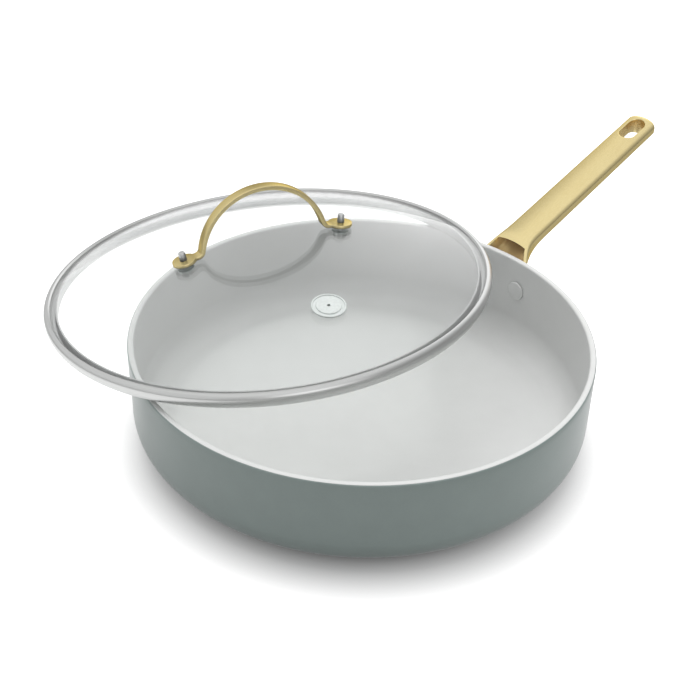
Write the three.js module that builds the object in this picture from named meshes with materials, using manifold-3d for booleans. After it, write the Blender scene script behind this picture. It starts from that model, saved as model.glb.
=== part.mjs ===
// A saute pan with a glass lid leaning on its rim.
// Millimetres, +Z up. The origin is the middle of the pan's flat base and +X runs along the handle.
import * as THREE from "three";
import { mergeVertices } from "three/addons/utils/BufferGeometryUtils.js";
import Module from "manifold-3d";

const wasm = await Module();
wasm.setup();

const degrees = THREE.MathUtils.degToRad;

// Pan: a drawn aluminium bowl with a nearly upright wall
const RIM_RADIUS = 133;
const PAN_HEIGHT = 60;
const WALL = 3.8;
const FLOOR = 4.6;
const WALL_DRAFT = degrees(0.8);
const CORNER_RADIUS = 20;
const INNER_CORNER_RADIUS = 16;
const RIM_ROUND = 1.2;

// Clearance left between pieces that touch
const GAP = 0.3;

// Rivets that hold the handle's pad to the wall
const RIVET_DROP = 20.2;
const RIVET_SPREAD = 13.8;
const RIVET_HEAD_RADIUS = 6;
const RIVET_HEAD = 1.4;
const RIVET_SHANK_RADIUS = 2.7;
const RIVET_TAIL_RADIUS = 4.5;
const RIVET_TAIL = 2.2;
const RIVET_EDGE = 0.5;

// Handle: a hollow casting that flares into two legs and a pad on the wall
const HANDLE_LENGTH = 143.2;
const HANDLE_SLOPE = degrees(15.4);
const HANDLE_LIFT = 5.1;
const HANDLE_WIDTH = 22;
const HANDLE_SIDE = 7;
const TIP_WIDTH = 20.5;
const TIP_SIDE = 6.2;
const TIP_LENGTH = 4.8;
const TIP_TURN = degrees(84);
const HANDLE_CROWN = 2.2;
const HANDLE_BELLY = 2.6;
const HANDLE_EDGE_ROUND = 2;
const HANDLE_WALL = 2.5;
const ROOT_WIDTH = 34;
const ROOT_LENGTH = 28;
const ROOT_DROP = 10.3;
const SHOULDER_DROP = 6.6;
const FLARE_POWER = 5;
const DROP_POWER = 3;
const SHOULDER_POWER = 7;
const LEG = 3.2;
const MOUTH_SETBACK = 4.3;
const POCKET_LENGTH = 70;
const PAD_MARGIN = 8.2;
const PAD_HEIGHT = 28;
const PAD_THICKNESS = 3.2;
const PAD_TOP_DROP = 3;
const PAD_CORNER = 9;
const HANG_HOLE_LENGTH = 20.4;
const HANG_HOLE_WIDTH = 11;
const HANG_HOLE_MARGIN = 5.4;

// Lid: a glass dome in a rolled steel band that is as wide as the rim
const BAND_SHEET = 0.9;
const BAND_HEIGHT = 10.4;
const BAND_SHOULDER = 3;
const BAND_CURL = 7;
const BAND_RETURN = 2.2;
const GLASS = 4;
const GLASS_LAP = 1;
const GLASS_EDGE_HEIGHT = 8.7;
const DOME_RISE = 26.7;

// Lid handle and its fasteners, stacked along the dome's normal
const FOOT_SPACING = 97.3;
const FOOT_REACH = 10;
const FOOT_RADIUS = 7.1;
const STRAP = 2;
const STRAP_WIDTH = 6;
const ARCH_RISE = 35.1;
const ARCH_SPREAD = degrees(12);
const WASHER = 0.8;
const WASHER_RADIUS = 5;
const BOLT_RADIUS = 1.5;
const BOLT_HEAD_RADIUS = 2.1;
const BOLT_HEAD = 5;
const BOLT_CROWN = 1;
const BOLT_STICK_OUT = 0.8;
const NUT_FLATS = 7;
const NUT = 3.2;

// Steam vent: a moulded button pressed through the glass
const VENT_DISTANCE = 79.9;
const VENT_TURN = degrees(-84);
const VENT_RADIUS = 10;
const VENT_ROLL = 0.6;
const VENT_PLATE_RADIUS = 8.8;
const VENT_PLATE = 0.6;
const VENT_BUTTON_RADIUS = 7.2;
const VENT_BUTTON = 1.2;
const VENT_TUBE_RADIUS = 3.6;
const VENT_BORE_RADIUS = 1;
const VENT_FLANGE_RADIUS = 5;
const VENT_SHEET = 0.9;

// How the lid leans: its shift off the pan's axis, the way it leans and how it is turned
const LID_SHIFT = 72.9;
const LID_LEAN_TURN = degrees(92.8);
const LID_TILT = degrees(7.6);
const LID_SPIN = degrees(-24);

// Fineness of round surfaces
const PAN_SEGMENTS = 72;
const SMALL_SEGMENTS = 24;
const CORNER_STEPS = 7;
const EDGE_STEPS = 2;
const CURL_STEPS = 3;
const DOME_STEPS = 7;
const ARCH_STEPS = 22;
const BEND_STEPS = 5;
const CROWN_STEPS = 8;
const BELLY_STEPS = 4;
const ROOT_STEPS = 10;
const TIP_STEPS = 6;

const FINISHES = {
  coated: { color: 0x76837f, roughness: 0.5, metalness: 0.1 },
  gold: { color: 0xc9b173, roughness: 0.35, metalness: 1 },
  steel: { color: 0xd6d7d6, roughness: 0.2, metalness: 1 },
  lining: { color: 0xcfd1ce, roughness: 0.45, metalness: 0 },
  glass: { color: 0xeef4f2, roughness: 0.03, metalness: 0, transparent: true, opacity: 0.25 },
  silicone: { color: 0xd2d8d6, roughness: 0.5, metalness: 0 },
};

// A closed geometry as a solid that can be joined and cut
function solid(geometry) {
  const bare = geometry.clone();
  bare.deleteAttribute("normal");
  bare.deleteAttribute("uv");
  const merged = mergeVertices(bare);
  const mesh = new wasm.Mesh({
    numProp: 3,
    vertProperties: merged.attributes.position.array,
    triVerts: new Uint32Array(merged.index.array),
  });
  return new wasm.Manifold(mesh);
}

// A solid's surface as a geometry
function surface(body) {
  const mesh = body.getMesh();
  const geometry = new THREE.BufferGeometry();
  geometry.setAttribute("position", new THREE.BufferAttribute(mesh.vertProperties, 3));
  geometry.setIndex(new THREE.BufferAttribute(mesh.triVerts, 1));
  geometry.computeVertexNormals();
  return geometry;
}

function piece(name, geometry, finish) {
  const mesh = new THREE.Mesh(geometry, new THREE.MeshStandardMaterial(FINISHES[finish]));
  mesh.name = name;
  return mesh;
}

function point(across, up) {
  return new THREE.Vector2(across, up);
}

function arc(centre, radius, from, to, steps) {
  return Array.from({ length: steps + 1 }, (_, i) => {
    const angle = from + ((to - from) * i) / steps;
    return point(centre.x + radius * Math.cos(angle), centre.y + radius * Math.sin(angle));
  });
}

// A profile of (radius, height) points turned round the Z axis
function turned(profile, segments) {
  return new THREE.LatheGeometry(profile, segments).rotateX(Math.PI / 2);
}

// An outline in the (x, y) plane raised from one height to another
function raised(outline, from, to) {
  const settings = { depth: to - from, bevelEnabled: false, curveSegments: SMALL_SEGMENTS / 2 };
  return new THREE.ExtrudeGeometry(outline, settings).translate(0, 0, from);
}

// A skin over sections with equal counts of points, closed at both ends
function loft(sections) {
  const count = sections[0].length;
  const positions = [];
  const index = [];
  for (const section of sections) {
    for (const p of section) {
      positions.push(p.x, p.y, p.z);
    }
  }
  for (let s = 0; s + 1 < sections.length; s += 1) {
    for (let i = 0; i < count; i += 1) {
      const here = s * count + i;
      const next = s * count + ((i + 1) % count);
      index.push(here, next, here + count, next, next + count, here + count);
    }
  }
  const last = (sections.length - 1) * count;
  for (let i = 1; i + 1 < count; i += 1) {
    index.push(0, i + 1, i);
    index.push(last, last + i, last + i + 1);
  }
  const geometry = new THREE.BufferGeometry();
  geometry.setAttribute("position", new THREE.Float32BufferAttribute(positions, 3));
  geometry.setIndex(index);
  return geometry;
}

// Pan wall: the outer and inner radius at a height
function outerRadius(height) {
  return RIM_RADIUS - (PAN_HEIGHT - height) * Math.tan(WALL_DRAFT);
}

function innerRadius(height) {
  return outerRadius(height) - WALL;
}

// Rivets stand square to the wall, each side of the handle's middle
const RIVET_HEIGHT = PAN_HEIGHT - RIVET_DROP;
const RIVET_TURN = Math.asin(RIVET_SPREAD / outerRadius(RIVET_HEIGHT));
const RIVET_SIDES = { rivet_right: -RIVET_TURN, rivet_left: RIVET_TURN };

// A cylinder square to the wall that runs through the wall and the pad at a rivet's place
function rivetHole(turn) {
  const radius = RIVET_SHANK_RADIUS + GAP;
  const end = RIM_RADIUS + PAD_THICKNESS + RIVET_HEAD_RADIUS;
  const start = innerRadius(RIVET_HEIGHT) - RIVET_HEAD_RADIUS;
  const hole = new THREE.CylinderGeometry(radius, radius, end - start, SMALL_SEGMENTS);
  hole.rotateZ(Math.PI / 2).translate((start + end) / 2, 0, RIVET_HEIGHT).rotateZ(turn);
  return solid(hole);
}

function panBody() {
  const corner = point(outerRadius(CORNER_RADIUS) - CORNER_RADIUS / Math.cos(WALL_DRAFT), CORNER_RADIUS);
  const floorCorner = FLOOR + INNER_CORNER_RADIUS;
  const inset = INNER_CORNER_RADIUS / Math.cos(WALL_DRAFT);
  const innerCorner = point(innerRadius(floorCorner) - inset, floorCorner);
  const lipHeight = PAN_HEIGHT - RIM_ROUND;
  const lipOuter = point(outerRadius(lipHeight) - RIM_ROUND, lipHeight);
  const lipInner = point(innerRadius(lipHeight) + RIM_ROUND, lipHeight);
  const down = -Math.PI / 2;
  const profile = [
    point(0, 0),
    ...arc(corner, CORNER_RADIUS, down, -WALL_DRAFT, CORNER_STEPS),
    ...arc(lipOuter, RIM_ROUND, 0, Math.PI / 2, EDGE_STEPS),
    ...arc(lipInner, RIM_ROUND, Math.PI / 2, Math.PI, EDGE_STEPS),
    ...arc(innerCorner, INNER_CORNER_RADIUS, -WALL_DRAFT, down, CORNER_STEPS),
    point(0, FLOOR),
  ];
  let body = solid(turned(profile, PAN_SEGMENTS));
  for (const turn of Object.values(RIVET_SIDES)) {
    body = body.subtract(rivetHole(turn));
  }
  return piece("pan_body", surface(body), "coated");
}

function rivet(name, turn) {
  const headFace = innerRadius(RIVET_HEIGHT) - GAP;
  const tailFace = outerRadius(RIVET_HEIGHT) + GAP + PAD_THICKNESS + GAP;
  const headEdge = point(RIVET_HEAD_RADIUS - RIVET_EDGE, headFace - RIVET_HEAD + RIVET_EDGE);
  const tailEdge = point(RIVET_TAIL_RADIUS - RIVET_EDGE, tailFace + RIVET_TAIL - RIVET_EDGE);
  const profile = [
    point(0, headFace - RIVET_HEAD),
    ...arc(headEdge, RIVET_EDGE, -Math.PI / 2, 0, EDGE_STEPS),
    point(RIVET_HEAD_RADIUS, headFace),
    point(RIVET_SHANK_RADIUS, headFace),
    point(RIVET_SHANK_RADIUS, tailFace),
    point(RIVET_TAIL_RADIUS, tailFace),
    ...arc(tailEdge, RIVET_EDGE, 0, Math.PI / 2, EDGE_STEPS),
    point(0, tailFace + RIVET_TAIL),
  ];
  const geometry = turned(profile, SMALL_SEGMENTS).rotateY(Math.PI / 2).rotateZ(turn);
  const mesh = piece(name, geometry, "lining");
  mesh.position.z = RIVET_HEIGHT;
  return mesh;
}

// Handle form: every size along it is worked out from the distance to the pan's axis
const HANDLE_END = RIM_RADIUS + HANDLE_LENGTH;
const TIP_START = HANDLE_END - TIP_LENGTH;

// How far a place lies inside the flared root: 1 at the wall, 0 where the plain bar begins
function rootShare(x) {
  return THREE.MathUtils.clamp(1 - (x - RIM_RADIUS) / ROOT_LENGTH, 0, 1);
}

// The crease between the crowned top and the side, without the shoulder
function creaseLine(x) {
  return PAN_HEIGHT + HANDLE_LIFT + (x - RIM_RADIUS) * Math.tan(HANDLE_SLOPE);
}

function handleForm(x) {
  const share = rootShare(x);
  const along = (x - RIM_RADIUS) / (TIP_START - RIM_RADIUS);
  const width = THREE.MathUtils.lerp(HANDLE_WIDTH, TIP_WIDTH, along);
  const side = THREE.MathUtils.lerp(HANDLE_SIDE, TIP_SIDE, along);
  return {
    half: (width + (ROOT_WIDTH - HANDLE_WIDTH) * share ** FLARE_POWER) / 2,
    crease: creaseLine(x) - SHOULDER_DROP * share ** SHOULDER_POWER,
    under: creaseLine(x) - side - ROOT_DROP * share ** DROP_POWER,
  };
}

// A section across the handle: a crowned top, upright sides and a round-cornered, bellied underside
function handleSection(x, form, crown, belly, round) {
  const top = Array.from({ length: CROWN_STEPS + 1 }, (_, i) => {
    const across = 1 - (2 * i) / CROWN_STEPS;
    return point(form.half * across, form.crease + crown * (1 - across ** 2));
  });
  const right = point(-form.half + round, form.under + round);
  const left = point(form.half - round, form.under + round);
  const under = Array.from({ length: BELLY_STEPS - 1 }, (_, i) => {
    const across = (2 * (i + 1)) / BELLY_STEPS - 1;
    return point(left.x * across, form.under - belly * (1 - across ** 2));
  });
  const outline = [
    ...top,
    ...arc(right, round, -Math.PI, -Math.PI / 2, EDGE_STEPS),
    ...under,
    ...arc(left, round, -Math.PI / 2, 0, EDGE_STEPS),
  ];
  return outline.map((p) => new THREE.Vector3(x, p.x, p.y));
}

function steps(from, to, count) {
  return Array.from({ length: count + 1 }, (_, i) => from + ((to - from) * i) / count);
}

function handleBar() {
  const rootStart = RIM_RADIUS - WALL;
  const sections = steps(rootStart, RIM_RADIUS + ROOT_LENGTH, ROOT_STEPS).map((x) => {
    return handleSection(x, handleForm(x), HANDLE_CROWN, HANDLE_BELLY, HANDLE_EDGE_ROUND);
  });
  for (const turn of steps(0, TIP_TURN, TIP_STEPS)) {
    const x = TIP_START + TIP_LENGTH * Math.sin(turn);
    const fade = Math.cos(turn);
    const form = { ...handleForm(x), half: (TIP_WIDTH / 2) * fade };
    const round = HANDLE_EDGE_ROUND * fade;
    sections.push(handleSection(x, form, HANDLE_CROWN * fade, HANDLE_BELLY * fade, round));
  }
  return solid(loft(sections));
}

// The hollow inside the casting, open at the mouth
function handlePocket() {
  const start = RIM_RADIUS - WALL * 2;
  const end = RIM_RADIUS + POCKET_LENGTH;
  const places = [...steps(start, RIM_RADIUS + ROOT_LENGTH, ROOT_STEPS), end];
  const sections = places.map((x) => {
    const form = handleForm(x);
    const inner = {
      half: form.half - LEG,
      crease: form.crease - HANDLE_WALL,
      under: form.under + HANDLE_WALL,
    };
    return handleSection(x, inner, HANDLE_CROWN, HANDLE_BELLY, HANDLE_EDGE_ROUND / 2);
  });
  return solid(loft(sections));
}

// The cut that sets the top of the mouth back from the rim, between the legs
function handleMouth() {
  const high = creaseLine(HANDLE_END);
  const places = steps(RIM_RADIUS - WALL * 2, RIM_RADIUS + MOUTH_SETBACK, ROOT_STEPS / 2);
  const sections = places.map((x) => {
    const form = { half: handleForm(x).half - LEG, crease: high, under: PAN_HEIGHT - PAD_TOP_DROP };
    return handleSection(x, form, HANDLE_CROWN, 0, HANDLE_EDGE_ROUND / 2);
  });
  return solid(loft(sections));
}

// A skin that follows the outside of the wall between two distances from it
function wallSkin(near, far) {
  const low = 0;
  const high = creaseLine(HANDLE_END);
  const profile = [
    point(outerRadius(low) + near, low),
    point(outerRadius(low) + far, low),
    point(outerRadius(high) + far, high),
    point(outerRadius(high) + near, high),
    point(outerRadius(low) + near, low),
  ];
  return solid(turned(profile, PAN_SEGMENTS));
}

// The riveted pad: a round-cornered plate bent to the wall
function handlePad() {
  const half = RIVET_SPREAD + PAD_MARGIN;
  const top = PAN_HEIGHT - PAD_TOP_DROP;
  const low = top - PAD_HEIGHT;
  const outline = new THREE.Shape([
    ...arc(point(half - PAD_CORNER, top - PAD_CORNER), PAD_CORNER, 0, Math.PI / 2, EDGE_STEPS * 2),
    ...arc(point(PAD_CORNER - half, top - PAD_CORNER), PAD_CORNER, Math.PI / 2, Math.PI, EDGE_STEPS * 2),
    ...arc(point(PAD_CORNER - half, low + PAD_CORNER), PAD_CORNER, -Math.PI, -Math.PI / 2, EDGE_STEPS * 2),
    ...arc(point(half - PAD_CORNER, low + PAD_CORNER), PAD_CORNER, -Math.PI / 2, 0, EDGE_STEPS * 2),
  ]);
  const plate = raised(outline, RIM_RADIUS - half, RIM_RADIUS + half);
  plate.rotateX(Math.PI / 2).rotateZ(Math.PI / 2);
  return solid(plate).intersect(wallSkin(GAP, GAP + PAD_THICKNESS));
}

function hangHole() {
  const radius = HANG_HOLE_WIDTH / 2;
  const far = HANDLE_END - HANG_HOLE_MARGIN - radius;
  const near = far - HANG_HOLE_LENGTH + HANG_HOLE_WIDTH;
  const outline = new THREE.Shape();
  outline.absarc(far, 0, radius, -Math.PI / 2, Math.PI / 2);
  outline.absarc(near, 0, radius, Math.PI / 2, -Math.PI / 2);
  return solid(raised(outline, PAN_HEIGHT, creaseLine(HANDLE_END) + HANDLE_CROWN * 2));
}

function panHandle() {
  const clearance = wallSkin(-RIM_RADIUS / 2, GAP);
  let body = handleBar().subtract(handlePocket()).subtract(handleMouth());
  body = body.subtract(clearance).add(handlePad()).subtract(hangHole());
  for (const turn of Object.values(RIVET_SIDES)) {
    body = body.subtract(rivetHole(turn));
  }
  return piece("pan_handle", surface(body), "gold");
}

// Dome of the lid: a ball's cap, measured in the lid's own frame from the band's lowest circle
const BAND_RADIUS = RIM_RADIUS;
const GLASS_RADIUS = BAND_RADIUS - BAND_SHOULDER + GLASS_LAP;
const DOME_RADIUS = (GLASS_RADIUS ** 2 + DOME_RISE ** 2) / (2 * DOME_RISE);
const DOME_CENTRE = GLASS_EDGE_HEIGHT + DOME_RISE - DOME_RADIUS;

// Height of a ball about the dome's centre, at a distance from the lid's axis
function ballHeight(radius, distance) {
  return DOME_CENTRE + Math.sqrt(radius ** 2 - distance ** 2);
}

// Places a geometry made about Z on the dome, square to the glass
function onDome(geometry, distance, turn) {
  const lean = Math.asin(distance / DOME_RADIUS);
  return geometry.translate(0, 0, DOME_RADIUS).rotateY(lean).translate(0, 0, DOME_CENTRE).rotateZ(turn);
}

// A cylinder square to the glass, long enough to run through the whole stack at a foot
function domeHole(radius, distance, turn) {
  const length = 2 * (HEAD_BASE - NUT_TOP);
  const hole = new THREE.CylinderGeometry(radius, radius, length, SMALL_SEGMENTS);
  return solid(onDome(hole.rotateX(Math.PI / 2), distance, turn));
}

function lidGlass() {
  const centre = point(0, DOME_CENTRE);
  const inner = DOME_RADIUS - GLASS;
  const outerEdge = Math.acos(GLASS_RADIUS / DOME_RADIUS);
  const innerEdge = Math.acos(GLASS_RADIUS / inner);
  const profile = [
    ...arc(centre, inner, Math.PI / 2, innerEdge, DOME_STEPS),
    ...arc(centre, DOME_RADIUS, outerEdge, Math.PI / 2, DOME_STEPS),
  ];
  profile[0].x = 0;
  profile[profile.length - 1].x = 0;
  let body = solid(turned(profile, PAN_SEGMENTS));
  for (const turn of Object.values(FEET)) {
    body = body.subtract(domeHole(BOLT_RADIUS + GAP, FOOT_SPACING / 2, turn));
  }
  body = body.subtract(domeHole(VENT_TUBE_RADIUS + GAP, VENT_DISTANCE, VENT_TURN));
  return piece("lid_glass", surface(body), "glass");
}

// The band: a round shoulder that laps the glass, a wide curl to the bottom and a return under the glass
function lidBand() {
  const shoulder = point(BAND_RADIUS - BAND_SHOULDER, BAND_HEIGHT - BAND_SHOULDER);
  const curl = point(BAND_RADIUS - BAND_CURL, BAND_CURL);
  const bend = point(curl.x, BAND_RETURN);
  const seat = bend.x - BAND_RETURN;
  const seatHeight = ballHeight(DOME_RADIUS - GLASS, seat + BAND_SHEET) - GAP;
  const quarter = Math.PI / 2;
  const profile = [
    ...arc(shoulder, BAND_SHOULDER - BAND_SHEET, quarter, 0, EDGE_STEPS),
    ...arc(curl, BAND_CURL - BAND_SHEET, 0, -quarter, CURL_STEPS),
    ...arc(bend, BAND_RETURN - BAND_SHEET, -quarter, -2 * quarter, EDGE_STEPS).slice(1),
    point(seat + BAND_SHEET, seatHeight),
    point(seat, seatHeight),
    ...arc(bend, BAND_RETURN, -2 * quarter, -quarter, EDGE_STEPS),
    ...arc(curl, BAND_CURL, -quarter, 0, CURL_STEPS).slice(1),
    ...arc(shoulder, BAND_SHOULDER, 0, quarter, CURL_STEPS),
    point(shoulder.x, BAND_HEIGHT - BAND_SHEET),
  ];
  return piece("lid_band", turned(profile, PAN_SEGMENTS), "steel");
}

// The feet of the lid's handle stand on opposite sides of the lid's axis
const FEET = { near: Math.PI, far: 0 };
const FOOT_TURN = Math.asin(FOOT_SPACING / 2 / DOME_RADIUS);
const WASHER_BASE = GAP;
const FOOT_BASE = WASHER_BASE + WASHER + GAP;
const HEAD_BASE = FOOT_BASE + STRAP + GAP;
const UNDER_TOP = -GLASS - GAP;
const NUT_TOP = UNDER_TOP - WASHER - GAP;

// The middle line of the lid handle's strap, from the crest of the arch out to one foot's end
function strapHalf() {
  const footLevel = DOME_RADIUS + FOOT_BASE + STRAP / 2;
  const foot = point(footLevel * Math.sin(FOOT_TURN), DOME_CENTRE + footLevel * Math.cos(FOOT_TURN));
  const outward = point(Math.cos(FOOT_TURN), -Math.sin(FOOT_TURN));
  const archRadius = FOOT_SPACING / 2 - FOOT_REACH;
  const centre = point(0, foot.y + ARCH_RISE - archRadius);
  const arch = arc(centre, archRadius, Math.PI / 2, ARCH_SPREAD, ARCH_STEPS / 2);
  const legEnd = arch[arch.length - 1];
  const down = point(Math.sin(ARCH_SPREAD), -Math.cos(ARCH_SPREAD));
  const reach = foot.clone().sub(legEnd).cross(outward) / down.cross(outward);
  const corner = legEnd.clone().addScaledVector(down, reach);
  const footStart = corner.clone().addScaledVector(outward, reach);
  const bend = new THREE.QuadraticBezierCurve(legEnd, corner, footStart).getPoints(BEND_STEPS);
  return [...arch, ...bend.slice(1), foot.clone().addScaledVector(outward, FOOT_RADIUS * 2)];
}

// A line's points moved sideways by a distance, along the line's left-hand normal
function beside(line, distance) {
  return line.map((p, i) => {
    const before = line[Math.max(i - 1, 0)];
    const after = line[Math.min(i + 1, line.length - 1)];
    const along = after.clone().sub(before).normalize();
    return point(p.x - along.y * distance, p.y + along.x * distance);
  });
}

// The strap is bent from a flat blank, so its side view and its plan are cut from one another
function lidHandle() {
  const half = strapHalf();
  const other = half.slice(1).reverse().map((p) => point(-p.x, p.y));
  const line = [...other, ...half];
  const side = new THREE.Shape([...beside(line, STRAP / 2), ...beside(line, -STRAP / 2).reverse()]);
  const bent = raised(side, -FOOT_RADIUS * 2, FOOT_RADIUS * 2).rotateX(Math.PI / 2);
  const edge = Math.asin(STRAP_WIDTH / 2 / FOOT_RADIUS);
  const middle = FOOT_SPACING / 2;
  const plan = new THREE.Shape([
    ...arc(point(middle, 0), FOOT_RADIUS, edge - Math.PI, Math.PI - edge, SMALL_SEGMENTS),
    ...arc(point(-middle, 0), FOOT_RADIUS, edge, 2 * Math.PI - edge, SMALL_SEGMENTS),
  ]);
  const blank = raised(plan, 0, DOME_RISE + GLASS_EDGE_HEIGHT + ARCH_RISE * 2);
  let body = solid(bent).intersect(solid(blank));
  for (const turn of Object.values(FEET)) {
    body = body.subtract(domeHole(BOLT_RADIUS + GAP, FOOT_SPACING / 2, turn));
  }
  return piece("lid_handle", surface(body), "gold");
}

function ring(outer, inner, low, high) {
  const profile = [
    point(inner, low),
    point(outer, low),
    point(outer, high),
    point(inner, high),
    point(inner, low),
  ];
  return turned(profile, SMALL_SEGMENTS);
}

function bolt() {
  const end = NUT_TOP - NUT - BOLT_STICK_OUT;
  const crown = HEAD_BASE + BOLT_HEAD;
  const edge = point(BOLT_HEAD_RADIUS - BOLT_CROWN, crown - BOLT_CROWN);
  const profile = [
    point(0, end),
    point(BOLT_RADIUS, end),
    point(BOLT_RADIUS, HEAD_BASE),
    point(BOLT_HEAD_RADIUS, HEAD_BASE),
    ...arc(edge, BOLT_CROWN, 0, Math.PI / 2, EDGE_STEPS),
    point(0, crown),
  ];
  return turned(profile, SMALL_SEGMENTS);
}

function nut() {
  const sides = 6;
  const corner = NUT_FLATS / 2 / Math.cos(Math.PI / sides);
  const outline = new THREE.Shape(arc(point(0, 0), corner, 0, Math.PI * 2, sides).slice(1));
  const hole = arc(point(0, 0), BOLT_RADIUS + GAP, 0, Math.PI * 2, SMALL_SEGMENTS).slice(1);
  outline.holes.push(new THREE.Path(hole));
  return raised(outline, NUT_TOP - NUT, NUT_TOP);
}

// The bolt, washers and nut at one foot of the lid's handle
function fastening(place, turn) {
  const hole = BOLT_RADIUS + GAP;
  const seats = {
    lid_bolt: [bolt(), "steel"],
    foot_washer: [ring(WASHER_RADIUS, hole, WASHER_BASE, WASHER_BASE + WASHER), "silicone"],
    glass_washer: [ring(WASHER_RADIUS, hole, UNDER_TOP - WASHER, UNDER_TOP), "silicone"],
    lid_nut: [nut(), "steel"],
  };
  return Object.entries(seats).map(([name, [geometry, finish]]) => {
    return piece(name + "_" + place, onDome(geometry, FOOT_SPACING / 2, turn), finish);
  });
}

// The vent: a rolled rim, a plate with a button on it, a tube through the glass and a flange below
function steamVent() {
  const under = UNDER_TOP;
  const rim = point(VENT_RADIUS - VENT_ROLL, GAP + VENT_ROLL);
  const plate = GAP + VENT_PLATE;
  const button = GAP + VENT_BUTTON;
  const profile = [
    point(VENT_BORE_RADIUS, under - VENT_SHEET),
    point(VENT_FLANGE_RADIUS, under - VENT_SHEET),
    point(VENT_FLANGE_RADIUS, under),
    point(VENT_TUBE_RADIUS, under),
    point(VENT_TUBE_RADIUS, GAP),
    ...arc(rim, VENT_ROLL, -Math.PI / 2, Math.PI / 2, CURL_STEPS),
    point(VENT_PLATE_RADIUS, plate),
    point(VENT_BUTTON_RADIUS, plate),
    point(VENT_BUTTON_RADIUS, button),
    point(VENT_BORE_RADIUS, button),
    point(VENT_BORE_RADIUS, under - VENT_SHEET),
  ];
  const geometry = onDome(turned(profile, SMALL_SEGMENTS), VENT_DISTANCE, VENT_TURN);
  return piece("steam_vent", geometry, "silicone");
}

// The lid leans on the rim at two places: its lowest circle crosses the rim's top there
function lid() {
  const footRadius = BAND_RADIUS - BAND_CURL;
  const rimTop = RIM_RADIUS - RIM_ROUND;
  const crossing = (rimTop ** 2 - footRadius ** 2 + LID_SHIFT ** 2) / (2 * LID_SHIFT);
  const height = PAN_HEIGHT + GAP + (crossing - LID_SHIFT) * Math.tan(LID_TILT);
  const turning = new THREE.Group();
  turning.rotation.z = LID_SPIN;
  turning.add(lidGlass(), lidBand(), lidHandle(), steamVent());
  for (const [place, turn] of Object.entries(FEET)) {
    turning.add(...fastening(place, turn));
  }
  const leaning = new THREE.Group();
  const way = point(Math.cos(LID_LEAN_TURN), Math.sin(LID_LEAN_TURN));
  leaning.position.set(LID_SHIFT * way.x, LID_SHIFT * way.y, height);
  leaning.quaternion.setFromAxisAngle(new THREE.Vector3(-way.y, way.x, 0), LID_TILT);
  leaning.add(turning);
  return leaning;
}

const sautePan = new THREE.Group();
sautePan.add(panBody(), panHandle(), lid());
for (const [name, turn] of Object.entries(RIVET_SIDES)) {
  sautePan.add(rivet(name, turn));
}

export default sautePan;
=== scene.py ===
"""A saute pan with a glass lid leaning on its rim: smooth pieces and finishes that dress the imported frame."""
import math

import bmesh
import bpy
import numpy as np
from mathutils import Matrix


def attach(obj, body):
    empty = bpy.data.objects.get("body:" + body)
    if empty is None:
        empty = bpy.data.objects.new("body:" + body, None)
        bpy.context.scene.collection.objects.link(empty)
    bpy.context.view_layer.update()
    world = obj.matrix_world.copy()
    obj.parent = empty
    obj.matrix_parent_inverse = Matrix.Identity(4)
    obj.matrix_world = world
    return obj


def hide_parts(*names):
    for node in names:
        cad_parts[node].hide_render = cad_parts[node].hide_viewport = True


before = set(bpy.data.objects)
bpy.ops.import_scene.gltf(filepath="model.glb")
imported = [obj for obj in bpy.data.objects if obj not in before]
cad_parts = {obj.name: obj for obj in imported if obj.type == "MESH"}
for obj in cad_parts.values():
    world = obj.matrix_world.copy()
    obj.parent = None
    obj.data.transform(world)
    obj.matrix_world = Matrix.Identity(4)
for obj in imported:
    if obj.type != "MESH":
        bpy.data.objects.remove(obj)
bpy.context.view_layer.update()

# All sizes below are millimetres and degrees; points become metres when a piece is made
MM = 0.001

# Pan
RIM_RADIUS = 133
PAN_HEIGHT = 60
WALL = 3.8
FLOOR = 4.6
WALL_DRAFT = 0.8
CORNER_RADIUS = 20
INNER_CORNER_RADIUS = 16
RIM_ROUND = 1.2
LINING = 0.15
LINING_EDGE = 55
GAP = 0.3

# Rivets
RIVET_DROP = 20.2
RIVET_SPREAD = 13.8
RIVET_HEAD_RADIUS = 6
RIVET_HEAD = 1.4
RIVET_CROWN = 0.4
RIVET_SHANK_RADIUS = 2.7
RIVET_TAIL_RADIUS = 4.5
RIVET_TAIL = 2.2
RIVET_EDGE = 0.5

# Pan handle
HANDLE_LENGTH = 143.2
HANDLE_SLOPE = 15.4
HANDLE_LIFT = 5.1
HANDLE_WIDTH = 22
HANDLE_SIDE = 7
TIP_WIDTH = 20.5
TIP_SIDE = 6.2
TIP_LENGTH = 4.8
HANDLE_CROWN = 2.2
HANDLE_BELLY = 2.6
TOP_EDGE = 2.6
LOW_EDGE = 2
HANDLE_WALL = 2.5
ROOT_WIDTH = 34
ROOT_LENGTH = 28
ROOT_DROP = 10.3
SHOULDER_DROP = 6.6
FLARE_POWER = 5
DROP_POWER = 3
SHOULDER_POWER = 7
LEG = 3.2
MOUTH_SETBACK = 4.3
POCKET_LENGTH = 70
POCKET_EDGE = 3
PAD_MARGIN = 8.2
PAD_HEIGHT = 28
PAD_THICKNESS = 3.2
PAD_TOP_DROP = 3
PAD_CORNER = 9
PAD_EDGE = 0.8
HANG_HOLE_LENGTH = 20.4
HANG_HOLE_WIDTH = 11
HANG_HOLE_MARGIN = 5.4
HANG_HOLE_EDGE = 0.7

# Lid
BAND_SHEET = 0.9
BAND_HEIGHT = 10.4
BAND_SHOULDER = 3
BAND_NOSE = 0.9
BAND_CURL = 7
BAND_RETURN = 2.2
BAND_SEAM = 0.05
GLASS = 4
GLASS_LAP = 1
GLASS_EDGE_HEIGHT = 8.7
DOME_RISE = 26.7

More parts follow.
